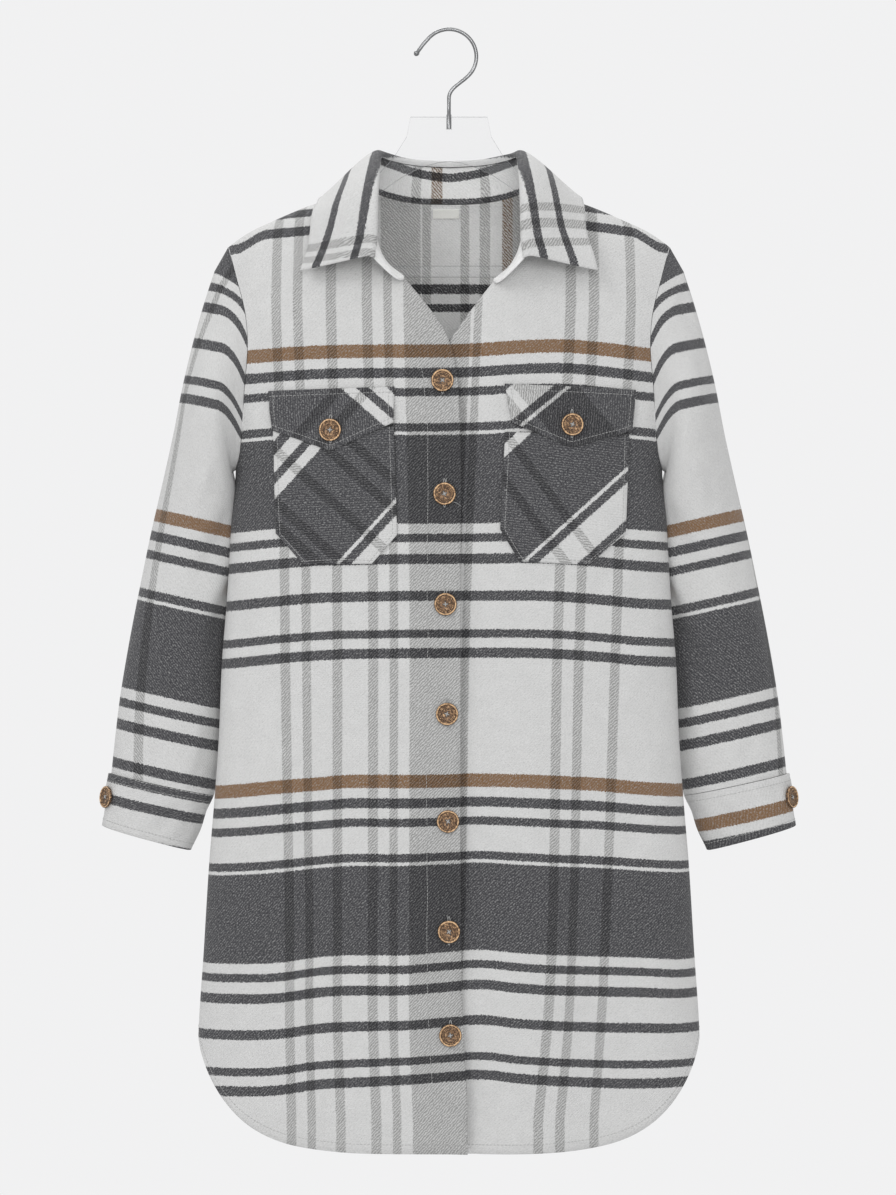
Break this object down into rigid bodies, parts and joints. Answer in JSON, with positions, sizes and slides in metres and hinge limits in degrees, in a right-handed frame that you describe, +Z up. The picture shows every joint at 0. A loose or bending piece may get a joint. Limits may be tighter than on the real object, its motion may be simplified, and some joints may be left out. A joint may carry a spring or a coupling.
{
  "type": "plaid flannel shacket on a clear hanger",
  "caption": "Long button-front plaid flannel shirt jacket with flapped chest pockets, open collar and rounded shirt-tail hem, hung on a clear plastic hanger with a wire hook.",
  "frame": {"origin": "inner top of the hanger's hook, where the rail carries it", "axes": "+Z up, the fronts face -Y, the wearer's left is +X"},
  "size_m": [0.7312, 0.1635, 1.163],
  "materials": {
    "plaid_flannel": "brushed cotton twill, white, grey, charcoal and brown plaid",
    "bronze_button": "metallic brown with a paler worn rim",
    "clear_plastic": "clear moulded plastic",
    "polished_wire": "polished",
    "label_tape": "smooth woven tape, bare"
  },
  "bodies": {
    "root": {"back": "plaid_flannel", "button_cuff_left": "bronze_button", "button_cuff_right": "bronze_button", "button_flap_left": "bronze_button", "button_flap_right": "bronze_button", "button_front_1": "bronze_button", "button_front_2": "bronze_button", "button_front_3": "bronze_button", "button_front_4": "bronze_button", "button_front_5": "bronze_button", "button_front_6": "bronze_button", "button_front_7": "bronze_button", "collar_leaf": "plaid_flannel", "collar_stand": "plaid_flannel", "cuff_left": "plaid_flannel", "cuff_right": "plaid_flannel", "flap_left": "plaid_flannel", "flap_right": "plaid_flannel", "front_left": "plaid_flannel", "front_right": "plaid_flannel", "hanger_body": "clear_plastic", "hanger_hook": "polished_wire", "neck_label": "label_tape", "pocket_left": "plaid_flannel", "pocket_right": "plaid_flannel", "sleeve_left": "plaid_flannel", "sleeve_right": "plaid_flannel"}
  },
  "joints": []
}
